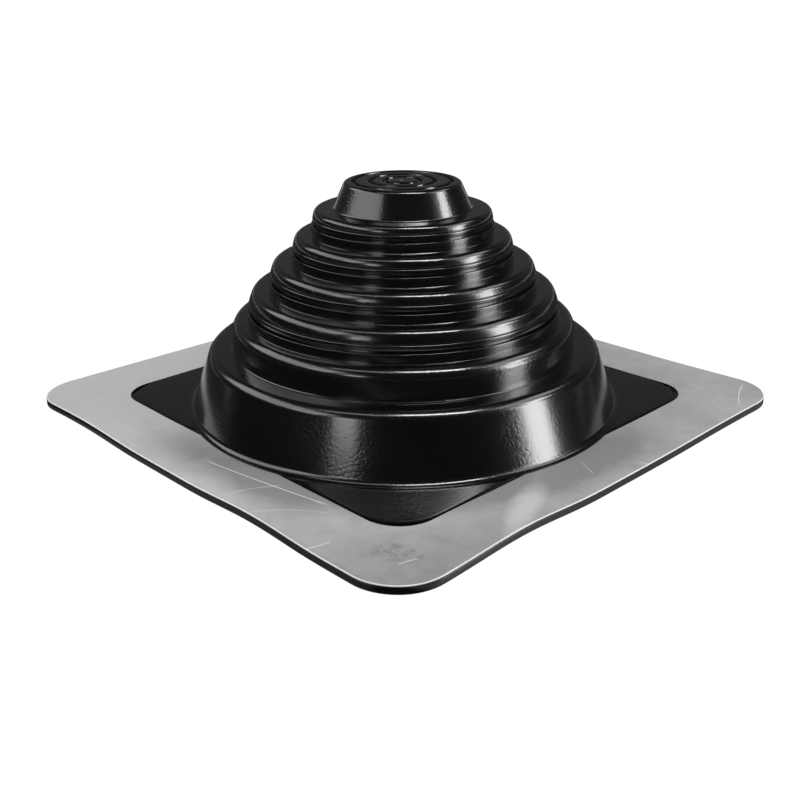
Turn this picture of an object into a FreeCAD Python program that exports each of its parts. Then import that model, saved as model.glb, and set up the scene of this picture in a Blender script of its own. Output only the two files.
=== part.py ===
"""Pipe flashing boot: a moulded EPDM rubber boot bonded to a soft aluminium flange.

The boot is a stepped cone. A closed cap with ring grooves stands on four ribbed tiers,
one smooth tier and a tall skirt, and a pipe is let through by cutting the cone at the tier
that fits it. The skirt runs out into a square rubber base. A square sheet of aluminium
with a window for the skirt lies on the base, and both have taken the same gentle waves
where the soft flange has been handled.

Millimetres, +Z up. The origin is the centre of the underside, and the flange's sides run
along X and Y.
"""

import FreeCAD
import Part
import math
import os

import Sketcher

# Driving dimensions, in millimetres unless the note says otherwise.
SIZES = {
    # flange
    "base_side": 203.0,          # outline of rubber base and aluminium sheet
    "base_corner": 18.0,         # corner radius of that outline
    "rubber_thick": 2.1,         # rubber under the aluminium
    "sheet_thick": 0.8,          # aluminium sheet
    "window_side": 155.4,        # opening in the aluminium
    "window_corner": 14.0,
    "pad_gap": 0.7,              # groove between the window and the raised rubber pad
    "pad_corner": 16.5,
    "flat_margin": 4.0,          # the flange is flat from the skirt's foot out to here
    "wave_reach": 32.0,          # from the flat out to where the waves reach full height
    # shell
    "shell_wall": 2.4,           # wall of the tiers
    "shell_web": 2.2,            # ledge and cap thickness
    "mouth_lip": 1.7,            # how far the base reaches in under the skirt's wall
    # cap
    "cap_rise": 9.4,
    "cap_rim": 21.2,
    "cap_round": 1.7,
    "cap_flare": 0.46,           # outward run for each millimetre down
    "cap_foot_round": 0.9,
    "ring_1": 17.3,              # mean radii of the ring grooves
    "ring_2": 11.3,
    "ring_3": 6.2,
    "ring_width": 1.7,
    "ring_depth": 1.1,
    "dimple_radius": 0.9,
    "dimple_depth": 0.7,
    # ribbed tiers, from the top down
    "rise_1": 8.9,
    "rim_1": 31.9,
    "round_1": 2.0,
    "flare_1": 0.24,
    "rise_2": 9.55,
    "rim_2": 39.2,
    "round_2": 2.7,
    "flare_2": 0.27,
    "rise_3": 9.8,
    "rim_3": 47.5,
    "round_3": 2.8,
    "flare_3": 0.34,
    "rise_4": 10.55,
    "rim_4": 55.5,
    "round_4": 3.0,
    "flare_4": 0.38,
    # snap ribs, heights above the ledge below
    "rib_upper_top": 6.1,
    "rib_lower_top": 3.55,
    "rib_bevel": 0.45,
    "rib_groove": 0.85,          # height of the groove between the ribs
    "rib_groove_depth": 0.9,
    "rib_notch": 0.35,           # fine notch over the upper rib
    "rib_stand": 0.12,           # how far a rib stands out of the flared wall
    "foot_lip": 0.22,            # fine lip where a wall meets its ledge
    # smooth tier and skirt
    "rise_5": 10.75,
    "rim_5": 62.7,
    "round_5": 3.7,
    "flare_5": 0.09,
    "rise_6": 21.65,
    "rim_6": 72.5,
    "round_6": 4.0,
    "flare_6": 0.36,
    "skirt_foot_round": 2.5,
    "skirt_lip": 0.3,            # edge of the skirt where it laps over the flange
    "skirt_key_inset": 1.0,      # from the pad's side to the skirt's key in the base
}

# Waves of the handled flange: direction in degrees, half-width in degrees, lift in mm.
WAVES = (
    (238.6, 20.0, 1.2),
    (289.0, 17.0, 1.6),
    (334.7, 19.0, 1.9),
    (36.0, 30.0, 0.8),
)
WAVE_POINTS = 36            # points round each section of the wavy surface
WAVE_SHARES = (0.0, 0.125, 0.25, 0.5, 0.75, 1.0)   # sections from the flat to the corners

RING_FLOOR_SHARE = 0.6      # a ring groove's floor as a share of its mouth
OVERCUT = 1.0               # how far cutting shapes run past what they cut
BLOCK_REACH = 20.0          # trimming blocks run this far above and below the underside
SAME_POINT = 1e-6
HEIGHTS_FROM_TOP = ("cap_rise", "rise_1", "rise_2", "rise_3", "rise_4", "rise_5", "rise_6")


def make_sheet(doc):
    """Keep every driving dimension in a spreadsheet cell with an alias."""
    sheet = doc.addObject("Spreadsheet::Sheet", "Sizes")
    for row, (alias, value) in enumerate(SIZES.items(), start=1):
        sheet.set(f"A{row}", alias)
        sheet.set(f"B{row}", str(value))
        sheet.setAlias(f"B{row}", alias)
    doc.recompute()
    return sheet


def cell(alias):
    """Expression that reads one driving dimension."""
    return f"Sizes.{alias}"


def value_of(sheet, expression):
    """Number that an expression on the sheet gives now."""
    return float(sheet.evalExpression(expression))


def foot_height(tier):
    """Expression for the height of a tier's foot: 0 is the cap, 6 the skirt."""
    below = HEIGHTS_FROM_TOP[tier + 1:]
    parts = [cell("rubber_thick"), cell("sheet_thick")] + [cell(name) for name in below]
    return "+".join(parts)


def cap_top():
    """Expression for the height of the cap's top."""
    return f"{foot_height(0)}+{cell('cap_rise')}"


class Profile:
    """A closed section whose corners are each given by two expressions on the sheet.

    Corners run anticlockwise. An arc runs from the corner it is given with to the next.
    """

    def __init__(self, sheet):
        self.sheet = sheet
        self.corners = []

    def corner(self, across, up, arc=None, hollow=False):
        """Add a corner, and with arc a rounded edge of that radius to the next corner."""
        self.corners.append((across, up, arc, hollow))
        return self

    def draw(self, sketch):
        """Draw the section, then join its edges and tie its sizes to the sheet."""
        points = [
            FreeCAD.Vector(value_of(self.sheet, across), value_of(self.sheet, up), 0)
            for across, up, _, _ in self.corners
        ]
        points.append(points[0])
        for index, (_, _, arc, hollow) in enumerate(self.corners):
            start, end = points[index:index + 2]
            if arc is None:
                sketch.addGeometry(Part.LineSegment(start, end), False)
            else:
                middle = arc_middle(start, end, value_of(self.sheet, arc), hollow)
                sketch.addGeometry(Part.Arc(start, middle, end), False)
        ends = [edge_ends(sketch, index, points[index]) for index in range(len(self.corners))]
        for index, (across, up, arc, _) in enumerate(self.corners):
            first, last = ends[index]
            following = (index + 1) % len(self.corners)
            sketch.addConstraint(
                Sketcher.Constraint("Coincident", index, last, following, ends[following][0])
            )
            place = ("DistanceX", across, points[index].x), ("DistanceY", up, points[index].y)
            for kind, expression, number in place:
                tie(sketch, expression, kind, -1, 1, index, first, number)
            if arc is not None:
                tie(sketch, arc, "Radius", index, value_of(self.sheet, arc))


def tie(sketch, expression, *constraint):
    """Add a constraint to a sketch and bind its value to an expression."""
    which = sketch.addConstraint(Sketcher.Constraint(*constraint))
    sketch.setExpression(f"Constraints[{which}]", expression)


def edge_ends(sketch, index, start):
    """Point numbers of an edge's first and last end, as arcs may be stored reversed."""
    if (sketch.getPoint(index, 1) - start).Length < SAME_POINT:
        return 1, 2
    return 2, 1


def arc_middle(start, end, radius, hollow):
    """Middle point of the short arc of that radius from start to end."""
    chord = end - start
    half = chord.Length / 2
    sagitta = radius - math.sqrt(radius * radius - half * half)
    outward = FreeCAD.Vector(chord.y, -chord.x, 0).normalize()
    return start + chord * 0.5 + outward * (-sagitta if hollow else sagitta)


class FlaredWall:
    """Outer wall of a tier: a rounded rim, then a straight wall that flares to its foot."""

    def __init__(self, rim, rounding, flare, rise):
        lean = f"sqrt(1+{flare}*{flare})"
        self.rim = rim
        self.rounding = rounding
        self.flare = flare
        self.rise = rise
        self.lean = lean
        self.touch = f"({rim}-{rounding}+{rounding}/{lean})"
        self.touch_height = f"({rise}-{rounding}+{rounding}*{flare}/{lean})"

    @classmethod
    def of_tier(cls, number):
        """Wall of a tier by its number, the cap being 0."""
        name = "cap_{}" if number == 0 else "{}_" + str(number)
        words = ("rim", "round", "flare", "rise")
        return cls(*(cell(name.format(word)) for word in words))

    def at(self, height):
        """Radius of the straight wall at a height above the foot."""
        return f"({self.touch}+{self.flare}*({self.touch_height}-({height})))"

    def foot_reach(self, rounding, lip):
        """Radius that a hollow round at the foot runs out to, above a lip of that height."""
        return f"({self.at(f'{lip}+{rounding}')}+{rounding}*{self.lean})"

    def add_hollow_foot(self, profile, rounding, lip):
        """Corners of a foot that runs out in a hollow round to a lip of that height."""
        reach = self.foot_reach(rounding, lip)
        profile.corner(reach, lip, arc=rounding, hollow=True)
        profile.corner(
            f"{reach}-{rounding}/{self.lean}",
            f"{lip}+{rounding}-{rounding}*{self.flare}/{self.lean}",
        )

    def add_rim(self, profile):
        """Corners from the top of the straight wall over the rim to the axis."""
        profile.corner(self.touch, self.touch_height, arc=self.rounding)
        profile.corner(f"{self.rim}-{self.rounding}", self.rise)
        profile.corner("0", self.rise)


def cap_profile(sheet):
    """Section of the closed cap, a frustum with a small hollow round at its foot."""
    wall = FlaredWall.of_tier(0)
    profile = Profile(sheet).corner("0", "0")
    wall.add_hollow_foot(profile, cell("cap_foot_round"), "0")
    wall.add_rim(profile)
    return profile


def add_foot_lip(profile, radius):
    """Corners of the fine lip that marks where a wall meets the ledge below."""
    lip = cell("foot_lip")
    profile.corner("0", "0")
    profile.corner(f"{radius}+{lip}", "0")
    profile.corner(f"{radius}+{lip}", lip)
    profile.corner(radius, f"2*{lip}")


def ribbed_profile(sheet, number):
    """Section of a ribbed tier: rim, flared wall, fine notch, rib, groove, rib, foot lip."""
    wall = FlaredWall.of_tier(number)
    stand, bevel = cell("rib_stand"), cell("rib_bevel")
    lower_top, upper_top = cell("rib_lower_top"), cell("rib_upper_top")
    groove_top = f"({lower_top}+{cell('rib_groove')})"
    notch_top = f"({upper_top}+{cell('rib_notch')})"
    lower = f"({wall.at(lower_top)}+{stand})"
    upper = f"({wall.at(upper_top)}+{stand})"
    root = f"({upper}-{cell('rib_groove_depth')})"
    profile = Profile(sheet)
    add_foot_lip(profile, lower)
    profile.corner(lower, f"{lower_top}-{bevel}").corner(f"{lower}-{bevel}", lower_top)
    profile.corner(root, lower_top)
    profile.corner(root, groove_top)
    profile.corner(upper, groove_top)
    profile.corner(upper, f"{upper_top}-{bevel}").corner(f"{upper}-{bevel}", upper_top)
    profile.corner(f"{upper}-{bevel}", notch_top)
    profile.corner(wall.at(notch_top), notch_top)
    wall.add_rim(profile)
    return profile


def smooth_profile(sheet):
    """Section of the smooth tier between the ribbed tiers and the skirt."""
    wall = FlaredWall.of_tier(5)
    profile = Profile(sheet)
    add_foot_lip(profile, wall.at(f"2*{cell('foot_lip')}"))
    wall.add_rim(profile)
    return profile


def skirt_reach():
    """Expression for the outer radius of the skirt's foot."""
    return FlaredWall.of_tier(6).foot_reach(cell("skirt_foot_round"), cell("skirt_lip"))


def mouth_radius():
    """Expression for the radius of the opening under the skirt."""
    return f"({FlaredWall.of_tier(6).at('0')}-{cell('shell_wall')}-{cell('mouth_lip')})"


def skirt_profile(sheet):
    """Section of the skirt, which is keyed into the base and laps over the window's edge."""
    wall = FlaredWall.of_tier(6)
    key = f"({cell('window_side')}/2-{cell('pad_gap')}-{cell('skirt_key_inset')})"
    key_foot = f"-({cell('sheet_thick')}+{cell('rubber_thick')}/2)"
    profile = Profile(sheet)
    profile.corner("0", key_foot).corner(key, key_foot).corner(key, "0")
    profile.corner(skirt_reach(), "0")
    wall.add_hollow_foot(profile, cell("skirt_foot_round"), cell("skirt_lip"))
    wall.add_rim(profile)
    return profile


def cavity_profile(sheet, number):
    """Section of the hollow inside a tier, from the next ledge's underside to its own."""
    wall = FlaredWall.of_tier(number)
    thick, web = cell("shell_wall"), cell("shell_web")
    top = f"{wall.rise}-{web}"
    profile = Profile(sheet)
    if number == 6:
        below = f"-({cell('sheet_thick')}+{cell('rubber_thick')}+{OVERCUT})"
        profile.corner("0", below).corner(mouth_radius(), below)
        profile.corner(mouth_radius(), "0")
    else:
        below = f"-{web}"
        profile.corner("0", below).corner(f"{wall.at('0')}-{thick}", below)
    return profile.corner(f"{wall.rim}-{thick}", top).corner("0", top)


def ring_groove_profile(sheet, radius):
    """Section of one ring groove in the cap, wider at its mouth than at its floor."""
    half, floor = f"{cell('ring_width')}/2", f"{cell('ring_width')}*{RING_FLOOR_SHARE}/2"
    depth = f"-{cell('ring_depth')}"
    profile = Profile(sheet)
    profile.corner(f"{radius}-{floor}", depth).corner(f"{radius}+{floor}", depth)
    profile.corner(f"{radius}+{half}", "0").corner(f"{radius}+{half}", str(OVERCUT))
    return profile.corner(f"{radius}-{half}", str(OVERCUT)).corner(f"{radius}-{half}", "0")


def dimple_profile(sheet):
    """Section of the small conical dimple at the cap's centre."""
    radius = cell("dimple_radius")
    profile = Profile(sheet).corner("0", f"-{cell('dimple_depth')}").corner(radius, "0")
    return profile.corner(radius, str(OVERCUT)).corner("0", str(OVERCUT))


def origin_plane(body, role):
    """One of a body's own origin planes."""
    return next(plane for plane in body.Origin.OriginFeatures if plane.Role == role)


def add_sketch(body, name, role, offset, height, profile):
    """Add a sketch on an origin plane of the body, moved up to a height."""
    sketch = body.newObject("Sketcher::SketchObject", name)
    sketch.AttachmentSupport = [(origin_plane(body, role), "")]
    sketch.MapMode = "FlatFace"
    sketch.setExpression(f"AttachmentOffset.Base.{offset}", height)
    profile.draw(sketch)
    return sketch


def add_turned(body, name, profile, height, kind="PartDesign::Revolution"):
    """Turn a section round the body's Z axis, adding material or with a Groove taking it."""
    sketch = add_sketch(body, f"{name}_section", "XZ_Plane", "y", height, profile)
    feature = body.newObject(kind, name)
    feature.Profile = sketch
    feature.ReferenceAxis = (sketch, ["V_Axis"])
    feature.Angle = 360
    return feature


def make_cone(doc, sheet):
    """The hollow stepped cone with its cap, ribs, skirt and ring grooves."""
    body = doc.addObject("PartDesign::Body", "stepped_cone")
    add_turned(body, "skirt", skirt_profile(sheet), foot_height(6))
    add_turned(body, "smooth_tier", smooth_profile(sheet), foot_height(5))
    for number in range(4, 0, -1):
        profile = ribbed_profile(sheet, number)
        add_turned(body, f"ribbed_tier_{number}", profile, foot_height(number))
    add_turned(body, "cap", cap_profile(sheet), foot_height(0))
    for number in range(7):
        profile = cavity_profile(sheet, number)
        cavity = f"cavity_{number}"
        add_turned(body, cavity, profile, foot_height(number), "PartDesign::Groove")
    for ring in ("ring_1", "ring_2", "ring_3"):
        profile = ring_groove_profile(sheet, cell(ring))
        add_turned(body, f"{ring}_groove", profile, cap_top(), "PartDesign::Groove")
    add_turned(body, "dimple", dimple_profile(sheet), cap_top(), "PartDesign::Groove")
    return body


def make_block(doc, sheet, name, side, corner, inset="0"):
    """An upright block with a rounded square outline, tall enough to trim the flange."""
    half = f"({cell(side)}/2-({inset}))"
    near = f"({half}-{cell(corner)})"
    radius = cell(corner)
    profile = Profile(sheet)
    profile.corner(near, f"-{half}", arc=radius).corner(half, f"-{near}")
    profile.corner(half, near, arc=radius).corner(near, half)
    profile.corner(f"-{near}", half, arc=radius).corner(f"-{half}", near)
    profile.corner(f"-{half}", f"-{near}", arc=radius).corner(f"-{near}", f"-{half}")
    body = doc.addObject("PartDesign::Body", name)
    sketch = add_sketch(body, f"{name}_outline", "XY_Plane", "z", f"-{BLOCK_REACH}", profile)
    pad = body.newObject("PartDesign::Pad", f"{name}_pad")
    pad.Profile = sketch
    pad.Length = 2 * BLOCK_REACH
    return body


def wave_lift(direction):
    """Height of the flange's waves in a direction, each wave a raised cosine."""
    total = 0.0
    for centre, half_width, lift in WAVES:
        away = abs((direction - centre + 180.0) % 360.0 - 180.0)
        if away < half_width:
            total += lift * math.cos(math.pi / 2 * away / half_width) ** 2
    return total


def wave_wire(sheet, share):
    """Closed curve round the flange, at a share of the way from the flat to the corners."""
    flat = value_of(sheet, f"{skirt_reach()}+{cell('flat_margin')}")
    corners = value_of(sheet, cell("base_side")) / math.sqrt(2) + OVERCUT
    radius = flat + share * (corners - flat)
    rise = min((radius - flat) / value_of(sheet, cell("wave_reach")), 1.0)
    swell = rise * rise * (3.0 - 2.0 * rise)
    points = []
    for step in range(WAVE_POINTS):
        direction = 360.0 * step / WAVE_POINTS
        across = radius * math.cos(math.radians(direction))
        along = radius * math.sin(math.radians(direction))
        points.append(FreeCAD.Vector(across, along, swell * wave_lift(direction)))
    curve = Part.BSplineCurve()
    curve.interpolate(points, PeriodicFlag=True)
    return Part.Wire(curve.toShape())


def make_layer(doc, sheet, name, bottom, thickness):
    """A wavy layer of the flange, wider than its outline, with a flat middle."""
    wires = [wave_wire(sheet, share) for share in WAVE_SHARES]
    waves = Part.makeLoft(wires, False, False)
    surface = Part.makeShell([Part.Face(wires[0])] + waves.Faces)
    surface.sewShape()
    surface.translate(FreeCAD.Vector(0, 0, value_of(sheet, bottom)))
    lift = FreeCAD.Vector(0, 0, value_of(sheet, thickness))
    solids = [face.extrude(lift) for face in surface.Faces]
    layer = doc.addObject("Part::Feature", name)
    layer.Shape = solids[0].multiFuse(solids[1:]).removeSplitter()
    return layer


def combine(doc, kind, name, base, tool):
    """A boolean of two objects: Part::Cut, Part::Fuse or Part::Common."""
    result = doc.addObject(kind, name)
    result.Base = base
    result.Tool = tool
    return result


def make_flange(doc, sheet):
    """The wavy rubber base with its raised pad, and the aluminium sheet that lies on it."""
    rubber, metal = cell("rubber_thick"), cell("sheet_thick")
    outline = make_block(doc, sheet, "outline_block", "base_side", "base_corner")
    window = make_block(doc, sheet, "window_block", "window_side", "window_corner")
    pad = make_block(doc, sheet, "pad_block", "window_side", "pad_corner", cell("pad_gap"))
    whole = make_layer(doc, sheet, "whole_layer", "0", f"{rubber}+{metal}")
    upper = make_layer(doc, sheet, "upper_layer", rubber, f"{metal}+{OVERCUT}")
    metal_layer = make_layer(doc, sheet, "metal_layer", rubber, metal)
    blank = combine(doc, "Part::Common", "base_blank", whole, outline)
    around_pad = combine(doc, "Part::Cut", "around_pad", upper, pad)
    base = combine(doc, "Part::Cut", "rubber_base", blank, around_pad)
    plate = combine(doc, "Part::Common", "metal_blank", metal_layer, outline)
    flange = combine(doc, "Part::Cut", "aluminium_flange", plate, window)
    return base, flange


def make_boot(doc, base, cone):
    """The rubber boot in one piece: base and cone joined, and opened below."""
    mouth = doc.addObject("Part::Cylinder", "mouth_bore")
    mouth.setExpression("Radius", mouth_radius())
    mouth.Height = 2 * BLOCK_REACH
    mouth.Placement.Base.z = -BLOCK_REACH
    open_base = combine(doc, "Part::Cut", "open_base", base, mouth)
    return combine(doc, "Part::Fuse", "rubber_boot", open_base, cone)


def check(doc, parts):
    """Stop if any object failed to build or a part is not one valid solid."""
    for item in doc.Objects:
        if "Invalid" in item.State or "Error" in item.State:
            raise RuntimeError(f"{item.Name} failed: {item.State}")
    for part in parts:
        shape = part.Shape
        if shape.isNull() or not shape.isValid() or len(shape.Solids) != 1:
            raise RuntimeError(f"{part.Label} is not one valid solid")


def main():
    """Build the boot and its flange, check them and write one STEP file for each."""
    os.makedirs("parts", exist_ok=True)
    doc = FreeCAD.newDocument("flashing_boot")
    sheet = make_sheet(doc)
    cone = make_cone(doc, sheet)
    base, flange = make_flange(doc, sheet)
    boot = make_boot(doc, base, cone)
    doc.recompute()
    parts = (boot, flange)
    check(doc, parts)
    for part in parts:
        part.Shape.exportStep(f"parts/{part.Label}.step")
        box = part.Shape.BoundBox
        print(part.Label, f"{part.Shape.Volume:.0f} mm3", f"{len(part.Shape.Faces)} faces")
        print("  from", box.XMin, box.YMin, box.ZMin, "to", box.XMax, box.YMax, box.ZMax)


main()
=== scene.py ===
"""Looks of a pipe flashing boot: a stepped rubber cone bonded to a square aluminium flange.

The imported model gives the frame. Each of its two solids is stood for by a finer surface of
the same form, worked out with numpy, and dressed with node-based rubber or aluminium.
Sizes are in millimetres and angles in degrees, unless a docstring says otherwise.
"""

from __future__ import annotations

import logging
import math
from dataclasses import dataclass, field
from enum import Enum

import bpy
import numpy as np
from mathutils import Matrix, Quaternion, Vector

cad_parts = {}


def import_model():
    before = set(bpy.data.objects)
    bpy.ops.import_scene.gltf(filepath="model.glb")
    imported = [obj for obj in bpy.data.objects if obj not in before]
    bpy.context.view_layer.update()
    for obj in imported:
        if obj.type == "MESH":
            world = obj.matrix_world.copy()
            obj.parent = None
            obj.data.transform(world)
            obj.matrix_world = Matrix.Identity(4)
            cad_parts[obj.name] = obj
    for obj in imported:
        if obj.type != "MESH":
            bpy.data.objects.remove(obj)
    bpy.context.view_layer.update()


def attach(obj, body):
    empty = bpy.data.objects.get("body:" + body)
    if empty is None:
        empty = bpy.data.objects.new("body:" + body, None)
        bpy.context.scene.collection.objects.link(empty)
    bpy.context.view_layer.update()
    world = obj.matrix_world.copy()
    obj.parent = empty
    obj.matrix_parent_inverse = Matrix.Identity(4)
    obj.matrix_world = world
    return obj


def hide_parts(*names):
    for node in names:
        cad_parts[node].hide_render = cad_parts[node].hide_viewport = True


LOG = logging.getLogger("flashing_boot")
MM = 0.001
COLUMNS_TO_CORNER = (0, 27, 55, 82)      # columns of one quadrant, dense round its corner
BEARINGS_TO_CORNER = (0.0, 35.0, 55.0, 90.0)
SHARP_ANGLE = math.radians(38.0)
BEVEL_MIDDLE = 0.3                       # where the row inside a bevel lies, as a share of it
HAIR = 0.01                              # gap in millimetres between surfaces that meet

Colour = tuple[float, float, float]
Triple = tuple[float, float, float]
Pair = tuple[float, float]


class Body(str, Enum):
    """CAD bodies that a piece can ride on."""

    ROOT = "root"


class Node(str, Enum):
    """CAD nodes that the finer pieces stand for."""

    BOOT = "rubber_boot"
    FLANGE = "aluminium_flange"


# ---------------------------------------------------------------- surfaces


def bearings() -> np.ndarray:
    """Column directions round the axis, in radians, closer together at the square's corners.

    Returns:
        Directions of one turn, counted from +X towards +Y.
    """
    columns = COLUMNS_TO_CORNER[-1]
    quadrant = np.interp(np.arange(columns), COLUMNS_TO_CORNER, BEARINGS_TO_CORNER)
    turn = np.concatenate([quadrant + 90.0 * side for side in range(4)])
    return np.radians(turn)


def square_reach(bearing: np.ndarray, half: float, corner: float) -> np.ndarray:
    """Distance from the axis to a rounded square's outline.

    Folded to one eighth, the side lies at half / cos(a), and the corner circle at
    m (cos a + sin a) + sqrt(corner^2 - m^2 (cos a - sin a)^2) with m = half - corner.

    Args:
        bearing: Directions in radians.
        half: Half the square's side.
        corner: Radius of its corners.

    Returns:
        The distance in each direction.
    """
    eighth = math.pi / 4
    folded = eighth - np.abs(np.mod(bearing, 2 * eighth) - eighth)
    middle = half - corner
    side = half / np.cos(folded)
    inside = corner**2 - (middle * (np.cos(folded) - np.sin(folded))) ** 2
    round_part = middle * (np.cos(folded) + np.sin(folded)) + np.sqrt(np.maximum(inside, 0.0))
    return np.where(half * np.tan(folded) <= middle, side, round_part)


def triangle_reach(bearing: np.ndarray, inner: float) -> np.ndarray:
    """Distance to a triangle's outline: inner / cos of the angle from the nearest side."""
    third = 2 * math.pi / 3
    return inner / np.cos(np.mod(bearing, third) - third / 2)


def grid_faces(rows: int, columns: int, first: int) -> np.ndarray:
    """Quads between neighbouring rows of a grid that closes round its columns."""
    row, column = np.meshgrid(np.arange(rows - 1), np.arange(columns), indexing="ij")
    ahead = (column + 1) % columns
    corners = (row * columns + column, (row + 1) * columns + column,
               (row + 1) * columns + ahead, row * columns + ahead)
    return np.stack(corners, axis=-1).reshape(-1, 4) + first


def fan_faces(pole: int, ring: np.ndarray, outwards: bool) -> np.ndarray:
    """Triangles from a pole to a ring, turned so that they face the right way."""
    ahead = np.roll(ring, -1)
    poles = np.full_like(ring, pole)
    order = (poles, ring, ahead) if outwards else (poles, ahead, ring)
    return np.stack(order, axis=-1)


def new_piece(name: str, points: np.ndarray, faces: list[np.ndarray]) -> bpy.types.Object:
    """Make a smooth-shaded mesh object from arrays.

    Args:
        name: Name of the piece.
        points: Corners in millimetres, in the row frame.
        faces: Arrays of corner numbers, each with rows of three or four.

    Returns:
        The new object, linked to the scene, at the origin.
    """
    mesh = bpy.data.meshes.new(name)
    loops = np.concatenate([block.ravel() for block in faces]).astype(np.int32)
    counts = np.concatenate([np.full(len(block), block.shape[1]) for block in faces])
    starts = np.concatenate([[0], np.cumsum(counts)[:-1]]).astype(np.int32)
    mesh.vertices.add(len(points))
    mesh.loops.add(len(loops))
    mesh.polygons.add(len(counts))
    mesh.vertices.foreach_set("co", (points * MM).astype(np.float32).ravel())
    mesh.loops.foreach_set("vertex_index", loops)
    mesh.polygons.foreach_set("loop_start", starts)
    mesh.update(calc_edges=True)
    mesh.validate()
    mesh.shade_smooth()
    mesh.set_sharp_from_angle(angle=SHARP_ANGLE)
    piece = bpy.data.objects.new(name, mesh)
    bpy.context.scene.collection.objects.link(piece)
    return piece


class Section:
    """A half section that grows point by point, each point a (radius, height) pair."""

    def __init__(self) -> None:
        """Start with no points."""
        self.runs: list[np.ndarray] = []

    def to(self, *points: tuple[float, float]) -> "Section":
        """Go straight through the points."""
        self.runs.append(np.array(points, dtype=float))
        return self

    def arc(self, centre: tuple[float, float], radius: float, start: float, stop: float,
            steps: int) -> "Section":
        """Go round a circle: centre + radius (cos a, sin a), a running from start to stop.

        Args:
            centre: Middle of the circle.
            radius: Its radius.
            start: First angle in degrees.
            stop: Last angle in degrees.
            steps: Number of equal steps between them.

        Returns:
            This section, so that calls can follow each other.
        """
        turn = np.radians(np.linspace(start, stop, steps + 1))
        ring = np.stack((np.cos(turn), np.sin(turn)), axis=-1)
        self.runs.append(np.asarray(centre) + radius * ring)
        return self

    def points(self) -> np.ndarray:
        """All the points as one array."""
        return np.concatenate(self.runs)


# ---------------------------------------------------------------- the flange's waves


@dataclass(frozen=True)
class Wave:
    """One soft wave of the handled flange: a raised cosine about a direction."""

    direction: float
    half_width: float
    lift: float

    def at(self, bearing: np.ndarray) -> np.ndarray:
        """Lift in each direction: lift cos^2 of the share of the half-width."""
        away = np.abs(np.mod(np.degrees(bearing) - self.direction + 180.0, 360.0) - 180.0)
        share = np.clip(away / self.half_width, 0.0, 1.0)
        return self.lift * np.cos(0.5 * math.pi * share) ** 2


@dataclass
class WavyPlane:
    """How the flange lifts off the plane outside its flat middle."""

    flat: float = 85.0
    reach: float = 32.0
    waves: tuple[Wave, ...] = (
        Wave(238.6, 20.0, 1.2),
        Wave(289.0, 17.0, 1.6),
        Wave(334.7, 19.0, 1.9),
        Wave(36.0, 30.0, 0.8),
    )

    def lift(self, bearing: np.ndarray, radius: np.ndarray) -> np.ndarray:
        """Height above the flat: a smoothstep of the way out, times the sum of the waves."""
        way = np.clip((radius - self.flat) / self.reach, 0.0, 1.0)
        total = sum(wave.at(bearing) for wave in self.waves)
        return way * way * (3.0 - 2.0 * way) * total


@dataclass
class Outline:
    """A rounded square outline, in millimetres."""

    half: float
    corner: float
    least_corner: float = 0.1

    def towards(self, other: "Outline", share: float) -> "Outline":
        """Outline at a share of the way to another one."""
        return Outline(self.half + share * (other.half - self.half),
                       self.corner + share * (other.corner - self.corner))

    def row(self, bearing: np.ndarray, height: float, waves: WavyPlane,
            inset: float = 0.0) -> np.ndarray:
        """Points along the outline, moved in by an inset and lifted by the waves.

        Args:
            bearing: Directions in radians.
            height: Height of the row where the flange is flat.
            waves: Waves that lift it.
            inset: How far the row lies inside the outline.

        Returns:
            One point (x, y, z) for each direction.
        """
        corner = max(self.corner - inset, self.least_corner)
        reach = square_reach(bearing, self.half - inset, corner)
        lifted = height + waves.lift(bearing, reach)
        return np.stack((reach * np.cos(bearing), reach * np.sin(bearing), lifted), axis=-1)


# ---------------------------------------------------------------- the rubber boot


@dataclass
class Tier:
    """One moulded step of the cone: a rounded rim over a wall that flares to its foot."""

    rise: float
    rim: float
    rounding: float
    flare: float
    foot: float = 0.0

    @property
    def tilt(self) -> float:
        """Angle of the wall's normal above the level, in degrees."""
        return math.degrees(math.atan(self.flare))

    @property
    def lean(self) -> float:
        """Length of wall for each millimetre of height."""
        return math.hypot(1.0, self.flare)

    def wall(self, height: float) -> float:
        """Radius of the straight wall at a height above the foot."""
        touch = self.rim - self.rounding + self.rounding / self.lean
        touch_height = self.rise - self.rounding + self.rounding * self.flare / self.lean
        return touch + self.flare * (touch_height - height)

    def add_rim(self, section: Section, steps: int) -> None:
        """Round the rim from the ledge on top down to the straight wall."""
        centre = (self.rim - self.rounding, self.foot + self.rise - self.rounding)
        section.arc(centre, self.rounding, 90.0, self.tilt, steps)

    def add_hollow_foot(self, section: Section, rounding: float, lip: float,
                        steps: int) -> float:
        """Run the wall out in a hollow round that ends above a lip.

        Args:
            section: Section that grows.
            rounding: Radius of the hollow.
            lip: Height at which it ends, above the foot.
            steps: Steps round the hollow.

        Returns:
            The radius that the foot reaches.
        """
        reach = self.wall(lip + rounding) + rounding * self.lean
        centre = (reach, self.foot + lip + rounding)
        section.arc(centre, rounding, 180.0 + self.tilt, 270.0, steps)
        return reach


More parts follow.
